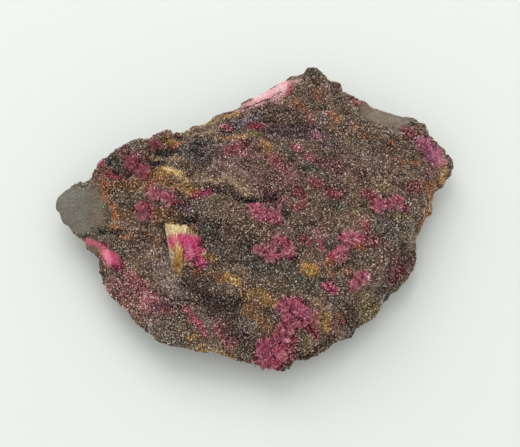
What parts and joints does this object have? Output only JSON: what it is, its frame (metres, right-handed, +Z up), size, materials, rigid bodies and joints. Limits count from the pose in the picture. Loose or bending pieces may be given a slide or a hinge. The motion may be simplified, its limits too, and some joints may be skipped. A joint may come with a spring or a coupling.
{
  "type": "erythrite on matrix mineral specimen",
  "caption": "Flat, broken piece of dark ore rock with rosettes, sprays and thin crusts of pink erythrite crystals on its top face; it rests on its flattened underside.",
  "frame": {"origin": "middle of the specimen's bounding box, on the plane it rests on", "axes": "+Z up from the resting plane; +X along the rock's long way, from its thin left tongue to its rusty right side; +Y from the near edge to the far point"},
  "size_m": [0.0708, 0.056, 0.0143],
  "materials": {
    "matrix": "matte",
    "erythrite": "satin",
    "pale_erythrite": "satin",
    "fan": "satin"
  },
  "bodies": {
    "root": {"matrix": "matrix", "lower_patch": "erythrite", "center_rosette": "erythrite", "middle_rosette": "erythrite", "left_tuft": "erythrite", "left_streak": "erythrite", "block_tufts": "erythrite", "far_left_tuft": "erythrite", "notch_crust": "erythrite", "far_crust": "pale_erythrite", "shoulder_patch": "erythrite", "right_rosette": "erythrite", "right_tufts": "erythrite", "right_streak": "erythrite", "fan": "fan"}
  },
  "joints": []
}
